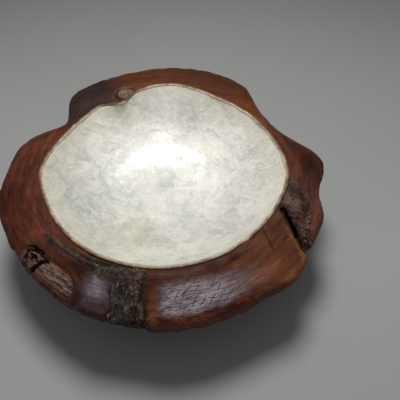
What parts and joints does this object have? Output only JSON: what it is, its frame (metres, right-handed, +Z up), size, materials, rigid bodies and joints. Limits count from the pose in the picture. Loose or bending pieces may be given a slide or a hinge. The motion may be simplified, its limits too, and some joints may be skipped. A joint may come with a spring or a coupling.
{
  "type": "bowl",
  "caption": "Shallow live-edge bowl carved from one block of root wood, with bark left in the rim and a mosaic lining of pale shell flakes.",
  "frame": {"origin": "middle of the flat foot, on the surface the bowl stands on", "axes": "+Z up, -Y towards the side with the wide band of bark, +X towards the cleft and its lobe"},
  "size_m": [0.3216, 0.3158, 0.0925],
  "materials": {
    "wood": "semi-gloss lacquer over dark reddish-brown wood",
    "bark": "rough furrowed bark, dull, thinly lacquered",
    "knot": "pale grey-brown knot, lacquered",
    "filler": "ochre wood filler, satin",
    "bed": "cream adhesive bed",
    "shell": "pearly off-white capiz shell under gloss lacquer"
  },
  "bodies": {
    "root": {"wood_body": "wood", "bark_front": "bark", "bark_left": "bark", "bark_right": "bark", "rim_knot": "knot", "lip_filler": "filler", "shell_bed": "bed", "shell_flake_01": "shell", "shell_flake_02": "shell", "shell_flake_03": "shell", "shell_flake_04": "shell", "shell_flake_05": "shell", "shell_flake_06": "shell", "shell_flake_07": "shell", "shell_flake_08": "shell", "shell_flake_09": "shell", "shell_flake_10": "shell", "shell_flake_11": "shell", "shell_flake_12": "shell", "shell_flake_13": "shell", "shell_flake_14": "shell", "shell_flake_15": "shell", "shell_flake_16": "shell", "shell_flake_17": "shell", "shell_flake_18": "shell", "shell_flake_19": "shell", "shell_flake_20": "shell", "shell_flake_21": "shell", "shell_flake_22": "shell", "shell_flake_23": "shell", "shell_flake_24": "shell", "shell_flake_25": "shell", "shell_flake_26": "shell", "shell_flake_27": "shell", "shell_flake_28": "shell", "shell_flake_29": "shell", "shell_flake_30": "shell", "shell_flake_31": "shell", "shell_flake_32": "shell", "shell_flake_33": "shell", "shell_flake_34": "shell", "shell_flake_35": "shell", "shell_flake_36": "shell", "shell_flake_37": "shell", "shell_flake_38": "shell", "shell_flake_39": "shell", "shell_flake_40": "shell", "shell_flake_41": "shell", "shell_flake_42": "shell", "shell_flake_43": "shell", "shell_flake_44": "shell", "shell_flake_45": "shell", "shell_flake_46": "shell", "shell_flake_47": "shell", "shell_flake_48": "shell"}
  },
  "joints": []
}
